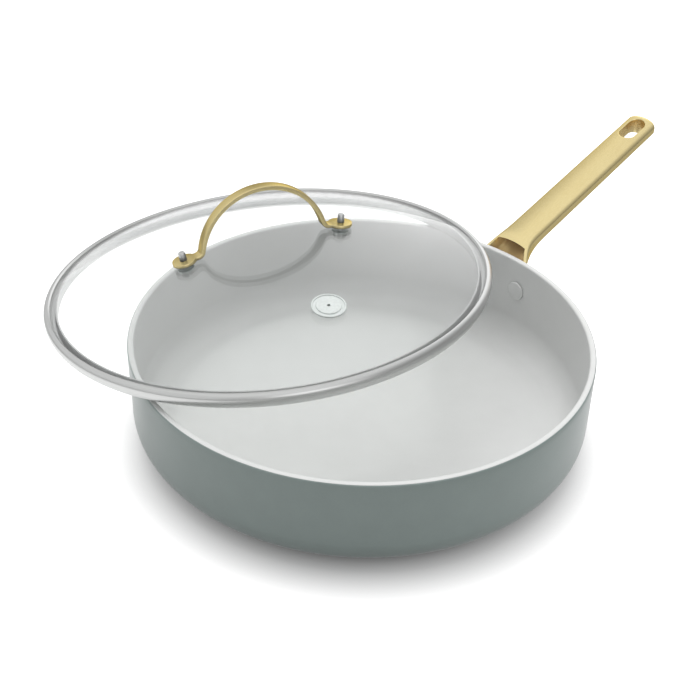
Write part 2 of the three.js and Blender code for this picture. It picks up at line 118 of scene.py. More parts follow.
# Lid handle, fasteners and vent
FOOT_SPACING = 97.3
FOOT_REACH = 10
FOOT_RADIUS = 7.1
STRAP = 2
STRAP_WIDTH = 6.8
BAR = 2.8
STRAP_EDGE = 0.45
ARCH_RISE = 35.1
ARCH_SPREAD = 12
WASHER = 0.8
WASHER_RADIUS = 5
WASHER_EDGE = 0.25
BOLT_RADIUS = 1.5
BOLT_HEAD_RADIUS = 2.1
BOLT_HEAD = 5
BOLT_CROWN = 1.2
BOLT_STICK_OUT = 0.8
NUT_FLATS = 7
NUT = 3.2
NUT_CHAMFER = 0.5
VENT_DISTANCE = 79.9
VENT_TURN = -84
VENT_RADIUS = 10
VENT_ROLL = 0.6
VENT_PLATE_RADIUS = 8.8
VENT_PLATE = 0.6
VENT_BUTTON_RADIUS = 7.2
VENT_BUTTON = 1.2
VENT_EDGE = 0.5
VENT_TUBE_RADIUS = 3.6
VENT_BORE_RADIUS = 1
VENT_FLANGE_RADIUS = 5
VENT_SHEET = 0.9

# How the lid leans
LID_SHIFT = 72.9
LID_LEAN_TURN = 92.8
LID_TILT = 7.6
LID_SPIN = -24

# Fineness: steps round large and small turned pieces, degrees past which an edge stays sharp, metres to weld
ROUND = 256
SMALL_ROUND = 64
SHARP = 38
WELD = 1e-6

# Corners of an outline in order: the signs of its two ways, and the turn at which the corner's round starts
QUARTERS = ((1, 1, 0), (-1, 1, 90), (-1, -1, 180), (1, -1, 270))


def sin(turn):
    """Sine of a turn in degrees."""
    return np.sin(np.radians(turn))


def cos(turn):
    """Cosine of a turn in degrees."""
    return np.cos(np.radians(turn))


def tan(turn):
    """Tangent of a turn in degrees."""
    return np.tan(np.radians(turn))


def arc(centre, radius, start, end, steps):
    """An arc in a plane: the centre plus the radius times the cosine and sine of turns from start to end."""
    turn = np.linspace(start, end, steps + 1)
    return np.column_stack([centre[0] + radius * cos(turn), centre[1] + radius * sin(turn)])


def line(start, end, steps):
    """A straight run of equal steps from start to end, both included. Start and end may be whole rows of
    points."""
    share = np.linspace(0, 1, steps + 1)[:, None]
    start, end = np.asarray(start, float), np.asarray(end, float)
    return start[..., None, :] + (end - start)[..., None, :] * share


def bend(start, corner, end, steps):
    """A quadratic curve from start to end that leaves and arrives along the lines to the corner."""
    first, second = line(start, corner, steps), line(corner, end, steps)
    return first + (second - first) * np.linspace(0, 1, steps + 1)[:, None]


def joined(*runs):
    """Runs of points end to end, each run's first point left out where it repeats the last one before it."""
    return np.concatenate([runs[0], *(run[..., 1:, :] for run in runs[1:])], axis=-2)


def turned(profile, around=ROUND):
    """A profile of (radius, height) turned round Z: x and y are the radius times the cosine and sine of the
    turn."""
    turn = np.linspace(0, 360, around + 1)
    radius, height = np.asarray(profile, float).T
    flat = np.ones_like(turn)
    return np.stack([np.outer(radius, cos(turn)), np.outer(radius, sin(turn)), np.outer(height, flat)], -1)


def swung(points, turn):
    """Points turned about Z: x and y mix by the turn's cosine and sine, z stays."""
    x, y, z = np.moveaxis(points, -1, 0)
    return np.stack([x * cos(turn) - y * sin(turn), x * sin(turn) + y * cos(turn), z], -1)


def tipped(points, turn):
    """Points turned about Y: z goes towards x by the turn's sine and x towards minus z."""
    x, y, z = np.moveaxis(points, -1, 0)
    return np.stack([x * cos(turn) + z * sin(turn), y, z * cos(turn) - x * sin(turn)], -1)


def across(points):
    """The same points on the other side of the plane through the pan's axis and handle: y changes sign."""
    return points * np.array([1, -1, 1])


def run_lengths(grid, axis):
    """Length run along one parameter of a grid, averaged over the other, in metres."""
    step = np.linalg.norm(np.diff(grid, axis=axis), axis=2).mean(axis=1 - axis)
    return np.concatenate([[0], np.cumsum(step)]) * MM


def weld(mesh, fresh):
    """Merges a mesh's equal points. A fresh mesh then has its faces turned outwards, and one that was cut or
    joined loses its slivers."""
    shell = bmesh.new()
    shell.from_mesh(mesh)
    bmesh.ops.remove_doubles(shell, verts=shell.verts, dist=WELD)
    if fresh:
        bmesh.ops.recalc_face_normals(shell, faces=shell.faces)
    else:
        bmesh.ops.dissolve_degenerate(shell, edges=shell.edges, dist=WELD)
    shell.to_mesh(mesh)
    shell.free()


def mesh_of(name, grids):
    """Grids of points as one welded mesh: each cell is a face. The UV map holds the metres run along each grid's
    two parameters."""
    faces, corners, start = [], [], 0
    for grid in grids:
        rows, columns = grid.shape[:2]
        number = np.arange(rows * columns).reshape(rows, columns)
        cell = np.stack([number[:-1, :-1], number[:-1, 1:], number[1:, 1:], number[1:, :-1]], -1)
        cell = cell.reshape(-1, 4)
        run = np.meshgrid(run_lengths(grid, 0), run_lengths(grid, 1), indexing="ij")
        faces.append(cell + start)
        corners.append(np.stack(run, -1).reshape(-1, 2)[cell.ravel()])
        start += rows * columns
    points = np.concatenate([grid.reshape(-1, 3) for grid in grids]) * MM
    mesh = bpy.data.meshes.new(name)
    mesh.from_pydata(points.tolist(), [], np.concatenate(faces).tolist())
    mesh.uv_layers.new(name="run").data.foreach_set("uv", np.concatenate(corners).ravel())
    weld(mesh, fresh=True)
    return mesh


def placed(name, data):
    """A new object in the scene that shows a mesh, a lamp or a camera."""
    thing = bpy.data.objects.new(name, data)
    bpy.context.scene.collection.objects.link(thing)
    return thing


def shaped(thing, operation, other):
    """A thing's mesh joined with or cut by another closed mesh."""
    tool = placed("tool", other)
    change = thing.modifiers.new("change", "BOOLEAN")
    change.operation, change.object, change.solver = operation, tool, "EXACT"
    bpy.context.view_layer.update()
    seen = thing.evaluated_get(bpy.context.evaluated_depsgraph_get())
    thing.data, before = bpy.data.meshes.new_from_object(seen), thing.data
    thing.modifiers.clear()
    weld(thing.data, fresh=False)
    bpy.data.objects.remove(tool)
    for mesh in (other, before):
        bpy.data.meshes.remove(mesh)


def piece(name, body, slot, nodes, finish, grids, cuts=(), joins=()):
    """A visible piece made of grids of points, with its finish, the body it rides on and the nodes that it
    stands for."""
    thing = placed(name, mesh_of(name, grids))
    for operation, others in (("UNION", joins), ("DIFFERENCE", cuts)):
        for other in others:
            shaped(thing, operation, mesh_of("tool", other))
    thing.data.name = name
    thing.data.materials.clear()
    thing.data.materials.append(finish)
    thing.data.shade_smooth()
    thing.data.set_sharp_from_angle(angle=math.radians(SHARP))
    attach(thing, body)
    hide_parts(*nodes)
    return thing


# Finishes: sizes of their patterns, the reach of the ambient occlusion that paints shade into gold hollows,
# and the levels of it at which that painted shade is full and at which there is none

ENAMEL_CLOUD = 14
ENAMEL_SPECK = 1.1
ENAMEL_PEEL = 1.8
ENAMEL_PEEL_DEPTH = 0.05
BAR_GRAIN = 0.8
BAR_GRAIN_RUN = 45
STRAP_GRAIN = 0.6
STRAP_GRAIN_RUN = 25
GRAIN_DEPTH = 0.03
GOLD_PATCH = 22
PAINTED_SHADE_REACH = 14
FULL_PAINTED_SHADE_SIGHT = 0.35
NO_PAINTED_SHADE_SIGHT = 0.7
PAINTED_SHADE_ROUGHNESS = 0.6
BUFF_LINE = 0.5
BUFF_LINE_RUN = 60
SILICONE_FLECK = 1.5


def colour(code):
    """A hex sRGB colour as linear red, green, blue and a full alpha."""
    share = np.array([int(code[i : i + 2], 16) for i in (1, 3, 5)]) / 255
    linear = np.where(share <= 0.04045, share / 12.92, ((share + 0.055) / 1.055) ** 2.4)
    return (*linear.tolist(), 1.0)


def per(size):
    """A texture's scale for features of a size in millimetres."""
    return 1 / (size * MM)


def add(tree, kind, sockets=None, **settings):
    """Adds one shader node; each socket takes a value or another node's output."""
    made = tree.nodes.new("ShaderNode" + kind)
    for name, value in settings.items():
        setattr(made, name, value)
    for name, value in (sockets or {}).items():
        if isinstance(value, bpy.types.NodeSocket):
            tree.links.new(value, made.inputs[name])
        else:
            made.inputs[name].default_value = value
    return made


def shade(ramp, stops):
    """Gives a colour ramp its stops: pairs of a place from 0 to 1 and a hex colour, in order."""
    for stop, _ in stops[1:-1]:
        ramp.elements.new(stop)
    for spot, (stop, code) in zip(ramp.elements, stops):
        spot.position, spot.color = stop, colour(code)


def new_finish(name):
    """A fresh material and its empty node tree."""
    made = bpy.data.materials.new(name)
    made.use_nodes = True
    made.node_tree.nodes.clear()
    return made, made.node_tree


def seen_by(tree, *kinds):
    """1 for rays of the named kinds, and 0 for the rest."""
    path = add(tree, "LightPath").outputs
    seen = path[f"Is {kinds[0]} Ray"]
    for kind in kinds[1:]:
        seen = add(tree, "Math", {0: seen, 1: path[f"Is {kind} Ray"]}, operation="MAXIMUM").outputs[0]
    return seen


def sprayed_enamel(name, light, dark, smooth, rough, bloom):
    """Sol-gel ceramic enamel sprayed on aluminium and baked: an even satin colour with a faint cloudiness,
    fine specks, a slight orange peel that softens reflections and a pale bloom where it turns away."""
    made, tree = new_finish(name)
    place = add(tree, "TexCoord").outputs["Object"]
    cloud = add(tree, "TexNoise", {"Vector": place, "Scale": per(ENAMEL_CLOUD), "Detail": 3.0})
    speck = add(tree, "TexNoise", {"Vector": place, "Scale": per(ENAMEL_SPECK), "Detail": 1.0})
    peel = add(tree, "TexNoise", {"Vector": place, "Scale": per(ENAMEL_PEEL), "Detail": 2.0})
    tone = add(tree, "Math", {
        0: speck.outputs["Fac"], 1: 0.35, 2: cloud.outputs["Fac"],
    }, operation="MULTIPLY_ADD")
    paint = add(tree, "ValToRGB", {"Fac": tone.outputs[0]})
    shade(paint.color_ramp, ((0.4, dark), (0.95, light)))
    gloss = add(tree, "MapRange", {"Value": cloud.outputs["Fac"], "To Min": smooth, "To Max": rough})
    ripple = add(tree, "Bump", {
        "Height": peel.outputs["Fac"], "Strength": 0.12, "Distance": ENAMEL_PEEL_DEPTH * MM,
    })
    shader = add(tree, "BsdfPrincipled", {
        "Base Color": paint.outputs["Color"], "Roughness": gloss.outputs["Result"],
        "Normal": ripple.outputs["Normal"], "IOR": 1.5, "Sheen Weight": bloom, "Sheen Roughness": 0.3,
    })
    add(tree, "OutputMaterial", {"Surface": shader.outputs["BSDF"]})
    return made


def brushed_gold_steel(name, coordinate, turns, dark, light, painted_shade_tone):
    """Stainless steel with a thin champagne gold vapour coat over a brushed grain: warm metal with fine
    streaks along the piece that draw reflections out. The grain is drawn coarser than the real 0.1 mm.
    Hollows found by ambient occlusion get painted shade, a darker, dull and unmetallic tone, and mirrored
    rays meet that tone too, which paints the piece's reflections dark."""
    made, tree = new_finish(name)
    place = add(tree, "TexCoord").outputs[coordinate]
    along = add(tree, "Mapping", {"Vector": place, "Scale": turns})
    grain = add(tree, "TexNoise", {"Vector": along.outputs["Vector"], "Scale": 1.0, "Detail": 3.0})
    patch = add(tree, "TexNoise", {"Vector": place, "Scale": per(GOLD_PATCH), "Detail": 2.0})
    tone = add(tree, "Math", {
        0: patch.outputs["Fac"], 1: 0.5, 2: grain.outputs["Fac"],
    }, operation="MULTIPLY_ADD")
    metal = add(tree, "ValToRGB", {"Fac": tone.outputs[0]})
    shade(metal.color_ramp, ((0.45, dark), (1.0, light)))
    gloss = add(tree, "MapRange", {"Value": grain.outputs["Fac"], "To Min": 0.23, "To Max": 0.28})
    ripple = add(tree, "Bump", {
        "Height": grain.outputs["Fac"], "Strength": 0.02, "Distance": GRAIN_DEPTH * MM,
    })
    # Painted shade: where ambient occlusion finds a hollow, the face takes the darker tone, loses its metal shine
    # and roughens
    sight = add(tree, "AmbientOcclusion", {"Distance": PAINTED_SHADE_REACH * MM})
    hollow = add(tree, "MapRange", {
        "Value": sight.outputs["AO"], "From Min": FULL_PAINTED_SHADE_SIGHT, "From Max": NO_PAINTED_SHADE_SIGHT,
        "To Min": 1.0, "To Max": 0.0,
    })
    # Mirrored rays meet the darker tone too: a painted dark reflection
    painted_shade_share = add(tree, "Math", {
        0: hollow.outputs["Result"], 1: seen_by(tree, "Glossy"),
    }, operation="MAXIMUM").outputs[0]
    # A Mix node's colours are its sockets 6 and 7 and its output 2
    coat = add(tree, "Mix", {0: painted_shade_share, 6: metal.outputs["Color"], 7: colour(painted_shade_tone)}, data_type="RGBA")
    shine = add(tree, "Math", {0: 1.0, 1: painted_shade_share}, operation="SUBTRACT")
    rough = add(tree, "Math", {
        0: painted_shade_share, 1: PAINTED_SHADE_ROUGHNESS, 2: gloss.outputs["Result"],
    }, operation="MULTIPLY_ADD")
    shader = add(tree, "BsdfPrincipled", {
        "Base Color": coat.outputs[2], "Metallic": shine.outputs[0], "Roughness": rough.outputs[0],
        "Normal": ripple.outputs["Normal"], "Specular Tint": colour(light),
    })
    add(tree, "OutputMaterial", {"Surface": shader.outputs["BSDF"]})
    return made


def polished_steel(name):
    """Stainless steel rolled and buffed: a bright grey mirror with faint lines left round it by the buffing."""
    made, tree = new_finish(name)
    place = add(tree, "TexCoord").outputs["UV"]
    along = add(tree, "Mapping", {"Vector": place, "Scale": (per(BUFF_LINE), per(BUFF_LINE_RUN), 1.0)})
    buff = add(tree, "TexNoise", {"Vector": along.outputs["Vector"], "Scale": 1.0, "Detail": 2.0})
    metal = add(tree, "ValToRGB", {"Fac": buff.outputs["Fac"]})
    shade(metal.color_ramp, ((0.3, "#c3c4c3"), (0.7, "#cfd0cf")))
    gloss = add(tree, "MapRange", {"Value": buff.outputs["Fac"], "To Min": 0.26, "To Max": 0.34})
    shader = add(tree, "BsdfPrincipled", {
        "Base Color": metal.outputs["Color"], "Metallic": 1.0, "Roughness": gloss.outputs["Result"],
    })
    add(tree, "OutputMaterial", {"Surface": shader.outputs["BSDF"]})
    return made


def tempered_glass(name):
    """Clear soda-lime glass pressed and tempered: it shows what is behind it, mirrors the studio faintly and
    has a trace of green. Lamps shine through it instead of leaving a black shadow."""
    made, tree = new_finish(name)
    clear = add(tree, "BsdfPrincipled", {
        "Base Color": colour("#fbfcfc"), "Roughness": 0.0, "IOR": 1.52, "Transmission Weight": 1.0,
    })
    passed = add(tree, "BsdfTransparent", {"Color": colour("#f8f9f8")})
    both = add(tree, "MixShader", {
        0: seen_by(tree, "Shadow"), 1: clear.outputs["BSDF"], 2: passed.outputs["BSDF"],
    })
    add(tree, "OutputMaterial", {"Surface": both.outputs["Shader"]})
    return made


def moulded_silicone(name):
    """Silicone rubber moulded in a matt tool: whitish, waxy and slightly uneven in tone."""
    made, tree = new_finish(name)
    place = add(tree, "TexCoord").outputs["Object"]
    fleck = add(tree, "TexNoise", {"Vector": place, "Scale": per(SILICONE_FLECK), "Detail": 2.0})
    rubber = add(tree, "ValToRGB", {"Fac": fleck.outputs["Fac"]})
    shade(rubber.color_ramp, ((0.3, "#bec3c1"), (0.7, "#c8cdcb")))
    gloss = add(tree, "MapRange", {"Value": fleck.outputs["Fac"], "To Min": 0.4, "To Max": 0.5})
    shader = add(tree, "BsdfPrincipled", {
        "Base Color": rubber.outputs["Color"], "Roughness": gloss.outputs["Result"], "IOR": 1.41,
    })
    add(tree, "OutputMaterial", {"Surface": shader.outputs["BSDF"]})
    return made


SAGE = sprayed_enamel("sage_sprayed_ceramic_enamel", "#8c9996", "#879491", 0.3, 0.38, 0.55)
PALE = sprayed_enamel("pale_sprayed_ceramic_enamel", "#cbcccb", "#c8c9c8", 0.3, 0.38, 0.0)
# Each gold's last colour is painted shade for its hollows and its reflections: tan on the bar, dark grey on the
# strap
GOLD_BAR = brushed_gold_steel(
    "gold_coated_brushed_steel", "Object", (per(BAR_GRAIN_RUN), per(BAR_GRAIN), per(BAR_GRAIN)),
    "#e7d49c", "#ecdba5", "#cdb184",
)
# The strap's gold is a darker copy of the bar's gold, painted darker to stand in for shade on the strap
SHADED_GOLD_STRAP = brushed_gold_steel(
    "gold_coated_brushed_strap_steel", "UV", (per(STRAP_GRAIN_RUN), per(STRAP_GRAIN), 1.0),
    "#d3c38f", "#dbcb99", "#50504c",
)
STEEL = polished_steel("polished_stainless_steel")
CLEAR = tempered_glass("clear_tempered_glass")
RUBBER = moulded_silicone("whitish_moulded_silicone")


# Pan


def outer_radius(height):
    """Outside of the pan's wall at a height: the rim's radius less the draft's run below the rim."""
    return RIM_RADIUS - (PAN_HEIGHT - height) * tan(WALL_DRAFT)


def inner_radius(height):
    """Inside of the pan's wall at a height: the outside less the wall's thickness."""
    return outer_radius(height) - WALL


def pan_lining_face():
    """The lining's face as a profile: over the rim's round, down the wall, round the corner and in to the
    axis."""
    lip = PAN_HEIGHT - RIM_ROUND
    floor_corner = FLOOR + INNER_CORNER_RADIUS
    corner = (inner_radius(floor_corner) - INNER_CORNER_RADIUS / cos(WALL_DRAFT), floor_corner)
    outside = arc((outer_radius(lip) - RIM_ROUND, lip), RIM_ROUND, LINING_EDGE, 90, 8)
    inside = arc((inner_radius(lip) + RIM_ROUND, lip), RIM_ROUND, 90, 180, 8)
    round_in = arc(corner, INNER_CORNER_RADIUS, -WALL_DRAFT, -90, 32)
    return joined(
        outside, line(outside[-1], inside[0], 2), inside, line(inside[-1], round_in[0], 10),
        round_in, line(round_in[-1], (0, FLOOR), 24),
    )


def pushed_in(profile, depth):
    """A profile moved by a depth along the left-hand normal of its run, with its end kept on the axis."""
    run = np.gradient(profile, axis=0)
    run /= np.linalg.norm(run, axis=1)[:, None]
    moved = profile + depth * np.column_stack([-run[:, 1], run[:, 0]])
    moved[-1, 0] = 0
    return moved


def pan():
    """The bowl, turned from its outer profile and the back of its lining, and the lining, a thin turned skin."""
    face = pan_lining_face()
    back = pushed_in(face, LINING)
    corner = (outer_radius(CORNER_RADIUS) - CORNER_RADIUS / cos(WALL_DRAFT), CORNER_RADIUS)
    round_out = arc(corner, CORNER_RADIUS, -90, -WALL_DRAFT, 32)
    lip = PAN_HEIGHT - RIM_ROUND
    edge = arc((outer_radius(lip) - RIM_ROUND, lip), RIM_ROUND, 0, LINING_EDGE, 2)
    outside = joined(
        line((0, 0), round_out[0], 20), round_out, line(round_out[-1], edge[0], 10), edge,
        line(edge[-1], back[0], 1),
    )
    piece("pan_bowl", "pan", "coated", ["pan_body"], SAGE, [turned(joined(outside, back))])
    skin = [turned(face), turned(back), turned(line(face[0], back[0], 1))]
    piece("pan_lining", "pan", "lining", ["pan_body"], PALE, skin)


def rivet(name, side):
    """A rivet turned about its own axis and set square through the wall: a low crowned head inside and a flat
    tail outside."""
    height = PAN_HEIGHT - RIVET_DROP
    turn = side * math.degrees(math.asin(RIVET_SPREAD / outer_radius(height)))
    face = inner_radius(height) - GAP
    tail = outer_radius(height) + PAD_THICKNESS + 2 * GAP
    rim = face - RIVET_HEAD + RIVET_CROWN
    share = np.linspace(0, 1, 13)
    crown = np.column_stack([share * (RIVET_HEAD_RADIUS - RIVET_EDGE), rim - RIVET_CROWN * (1 - share**2)])
    profile = joined(
        crown, arc((RIVET_HEAD_RADIUS - RIVET_EDGE, rim + RIVET_EDGE), RIVET_EDGE, -90, 0, 5),
        line((RIVET_HEAD_RADIUS, rim + RIVET_EDGE), (RIVET_HEAD_RADIUS, face), 1),
        line((RIVET_HEAD_RADIUS, face), (RIVET_SHANK_RADIUS, face), 2),
        line((RIVET_SHANK_RADIUS, face), (RIVET_SHANK_RADIUS, tail), 2),
        line((RIVET_SHANK_RADIUS, tail), (RIVET_TAIL_RADIUS, tail), 2),
        arc((RIVET_TAIL_RADIUS - RIVET_EDGE, tail + RIVET_TAIL - RIVET_EDGE), RIVET_EDGE, 0, 90, 5),
        line((RIVET_TAIL_RADIUS - RIVET_EDGE, tail + RIVET_TAIL), (0, tail + RIVET_TAIL), 3),
    )
    grid = swung(tipped(turned(profile, SMALL_ROUND), 90), turn) + np.array([0, 0, height])
    piece(name + "_coated", "pan", "lining", [name], PALE, [grid])


# Pan handle: every size along it is a function of x, the distance from the pan's axis

HANDLE_END = RIM_RADIUS + HANDLE_LENGTH
TIP_START = HANDLE_END - TIP_LENGTH
WALL_FACE = RIM_RADIUS + GAP

# Steps of the handle's grids, and how many steps further in the ceiling starts behind the mouth's brow
BETWEEN_LEGS = 10
ON_LEG = 5
IN_LEG = 10
ON_EDGE = 5
ON_SIDE = 4
UNDERCUT = 5


def root_share(x):
    """1 at the wall and 0 where the plain bar begins, in a straight fall between."""
    return np.clip(1 - (x - RIM_RADIUS) / ROOT_LENGTH, 0, 1)


def bar_share(x):
    """0 at the rim and 1 where the tip starts, in a straight rise between."""
    return np.clip((x - RIM_RADIUS) / (TIP_START - RIM_RADIUS), 0, 1)


def crease_line(x):
    """The handle's sloping line: the rim's height and a lift, plus the way past the rim times the slope."""
    return PAN_HEIGHT + HANDLE_LIFT + (x - RIM_RADIUS) * tan(HANDLE_SLOPE)


def handle_half(x):
    """Half the width: a straight taper plus a flare that grows with a power of the root's share."""
    flare = (ROOT_WIDTH - HANDLE_WIDTH) * root_share(x) ** FLARE_POWER
    return (HANDLE_WIDTH + (TIP_WIDTH - HANDLE_WIDTH) * bar_share(x) + flare) / 2


def handle_crease(x):
    """The edge between top and side: the sloping line less a shoulder that drops close to the wall."""
    return crease_line(x) - SHOULDER_DROP * root_share(x) ** SHOULDER_POWER


def handle_under(x):
    """The underside: the sloping line less a tapering side and a drop towards the wall."""
    side = HANDLE_SIDE + (TIP_SIDE - HANDLE_SIDE) * bar_share(x)
    return crease_line(x) - side - ROOT_DROP * root_share(x) ** DROP_POWER


def handle_top(x, y):
    """The crowned top: the crease plus the crown times one less the squared share of the way to the outline,
    where the share is |y| over the half width and, past the tip's start, the radius in the tip's ellipse."""
    past = np.maximum(x - TIP_START, 0) / TIP_LENGTH
    share = past**2 + (y / handle_half(x)) ** 2
    return handle_crease(x) + HANDLE_CROWN * (1 - np.minimum(share, 1))


def handle_low(x, y):
    """The bellied underside: it hangs below the plain underside by the belly times one less the squared share of
    the way to the lower rounding, where the share is taken as on the top."""
    past = np.maximum(x - TIP_START, 0) / (TIP_LENGTH - LOW_EDGE)
    share = past**2 + (y / (handle_half(x) - LOW_EDGE)) ** 2
    return handle_under(x) - HANDLE_BELLY * (1 - np.minimum(share, 1))


def handle_lines():
    """For each station round the left half of the handle's plan: the inner line, which is the middle line and
    then the hanging hole's outline, the same line moved out by the hole's edge, and the outer outline."""
    radius = HANG_HOLE_WIDTH / 2
    far = np.array([HANDLE_END - HANG_HOLE_MARGIN - radius, 0])
    near = far - np.array([HANG_HOLE_LENGTH - HANG_HOLE_WIDTH, 0])
    mouth, pocket = RIM_RADIUS + MOUTH_SETBACK, RIM_RADIUS + POCKET_LENGTH
    stops = [WALL_FACE, mouth, RIM_RADIUS + ROOT_LENGTH, pocket, near[0] - radius - HANG_HOLE_EDGE]
    counts = [8, 40, 30, 30]
    parts = [np.linspace(a, b, n + 1)[1:] for a, b, n in zip(stops, stops[1:], counts)]
    x = np.concatenate([[WALL_FACE], *parts])
    bar = np.column_stack([x, 0 * x])
    first = arc(near, 1, 180, 90, 16) - near
    last = arc(far, 1, 90, 0, 32) - far
    straight = line(near, far, 8)[1:-1]
    sides = [near + first * radius, straight + np.array([0, radius]), far + last * radius]
    wide = radius + HANG_HOLE_EDGE
    moved = [near + first * wide, straight + np.array([0, wide]), far + last * wide]
    inner = np.concatenate([bar[:-1], *sides])
    rim = np.concatenate([bar[:-1], *moved])
    upto = np.concatenate([bar[:-1, 0], moved[0][:, 0], straight[:, 0]])
    side = np.column_stack([upto, handle_half(upto)])
    x = np.linspace(far[0], TIP_START, 20)
    tip = arc((0, 0), 1, 90, 0, 90) * np.array([TIP_LENGTH, TIP_WIDTH / 2]) + np.array([TIP_START, 0])
    path = joined(np.column_stack([x, handle_half(x)]), tip)
    run = np.concatenate([[0], np.cumsum(np.linalg.norm(np.diff(path, axis=0), axis=1))])
    places = np.linspace(0, run[-1], len(last))
    end = np.column_stack([np.interp(places, run, path[:, 0]), np.interp(places, run, path[:, 1])])
    outer = np.concatenate([side, end])
    return inner, rim, outer, counts[0], sum(counts[:3]), len(bar) - 1


def lifted(plan, height):
    """Points of a plan with their heights."""
    return np.concatenate([plan, np.broadcast_to(height, plan.shape[:-1])[..., None]], -1)


def to_wall(points):
    """Points of the root drawn to the wall: x moves by the gap to the wall's round, times a share that falls off
    as a square from the wall to the plain bar."""
    x, y, z = np.moveaxis(points, -1, 0)
    away = np.sqrt((outer_radius(z) + GAP) ** 2 - np.minimum(np.abs(y), ROOT_WIDTH) ** 2) - WALL_FACE
    fade = np.clip(1 - (x - WALL_FACE) / ROOT_LENGTH, 0, 1) ** 2
    return np.stack([x + away * fade, y, z], -1)


def handle_skin(rim, outer, hole):
    """The left half's skin, station by station: over the crowned top, round the edge, down the side, round again
    and back under."""
    way = np.gradient(outer, axis=0)
    way /= np.linalg.norm(way, axis=1)[:, None]
    out = np.column_stack([-way[:, 1], way[:, 0]])
    out[-1] = 1, 0
    half, crease, under = handle_half(outer[:, 0]), handle_crease(outer[:, 0]), handle_under(outer[:, 0])
    shelf, foot = outer - TOP_EDGE * out, outer - LOW_EDGE * out
    leg = rim + (shelf - rim) * ((half - LEG) / half)[:, None]
    leg[:hole] = np.column_stack([rim[:hole, 0], handle_half(rim[:hole, 0]) - LEG])
    plan = joined(line(rim, leg, BETWEEN_LEGS), line(leg, shelf, ON_LEG))
    top = lifted(plan, handle_top(plan[..., 0], plan[..., 1]))
    upper, lower = lifted(outer, crease - TOP_EDGE), lifted(outer, under + LOW_EDGE)
    edge = bend(top[:, -1], lifted(outer, crease), upper, ON_EDGE)
    side = line(upper, lower, ON_SIDE)
    low = bend(lower, lifted(outer, under), lifted(foot, handle_under(foot[:, 0])), ON_EDGE)
    plan = line(foot, rim, BETWEEN_LEGS + ON_LEG)
    base = lifted(plan, handle_low(plan[..., 0], plan[..., 1]))
    return to_wall(joined(top, edge, side, low, base))


def hanging_hole_wall(inner, skin):
    """The hanging hole's wall: round the top's edge, straight down and round the underside's edge."""
    top, low = handle_top(inner[:, 0], inner[:, 1]), handle_low(inner[:, 0], inner[:, 1])
    upper, lower = lifted(inner, top - HANG_HOLE_EDGE), lifted(inner, low + HANG_HOLE_EDGE)
    return joined(
        bend(skin[:, 0], lifted(inner, top), upper, ON_EDGE), line(upper, lower, ON_SIDE),
        bend(lower, lifted(inner, low), skin[:, -1], ON_EDGE),
    )


def handle_pocket(x):
    """The pocket's left half as a crowned ceiling, a cheek and a bellied bed, a wall's thickness inside the
    skin. Its height shuts at the far end as the square root of the way that is left."""
    half = handle_half(x) - LEG
    roof, ground = handle_crease(x) - HANDLE_WALL, handle_under(x) + HANDLE_WALL
    shut = np.sqrt(np.clip((x[-1] - x) / LEG, 0, 1))
    middle, height = (roof + ground) / 2, shut * (roof - ground) / 2
    roof, ground, round_in = middle + height, middle - height, np.minimum(POCKET_EDGE, height)
    beam, wing, floor = (np.column_stack([x, y]) for y in (0 * x, half, half - round_in))
    plan = line(beam, wing, BETWEEN_LEGS)
    share = (plan[..., 1] / half[:, None]) ** 2
    ceiling = lifted(plan, roof[:, None] + (HANDLE_CROWN * shut)[:, None] * (1 - share))
    cheek = joined(
        line(lifted(wing, roof), lifted(wing, ground + round_in), ON_EDGE + ON_SIDE),
        bend(lifted(wing, ground + round_in), lifted(wing, ground), lifted(floor, ground), ON_EDGE),
    )
    plan = line(floor, beam, BETWEEN_LEGS)
    share = (plan[..., 1] / floor[:, 1:]) ** 2
    bed = lifted(plan, ground[:, None] - (HANDLE_BELLY * shut)[:, None] * (1 - share))
    return [to_wall(face) for face in (ceiling, cheek, bed)]


def handle_casting():
    """The hollow handle's left half as grids: skin, hanging hole's wall, pocket, mouth and root end. The mouth's
    legs, brow and nook are straight runs from the skin to the pocket."""
    inner, rim, outer, mouth, pocket, hole = handle_lines()
    skin = handle_skin(rim, outer, hole)
    ceiling, cheek, bed = handle_pocket(outer[: pocket + 1, 0])
    deep = mouth + UNDERCUT
    legs = line(skin[: mouth + 1, BETWEEN_LEGS], cheek[: mouth + 1, 0], IN_LEG)
    brow = line(skin[mouth, : BETWEEN_LEGS + 1], ceiling[deep], IN_LEG)
    corner = np.broadcast_to(skin[mouth, BETWEEN_LEGS], (UNDERCUT + 1, 3))
    nook = line(corner, cheek[mouth : deep + 1, 0], IN_LEG)
    root = np.stack([skin[0, BETWEEN_LEGS:], joined(legs[0], cheek[0], bed[0])])
    wall = hanging_hole_wall(inner[hole:], skin[hole:])
    shown = [skin[mouth:, : BETWEEN_LEGS + 1], skin[:, BETWEEN_LEGS:], wall]
    return [*shown, ceiling[deep:], joined(cheek, bed), legs, brow, nook, root]


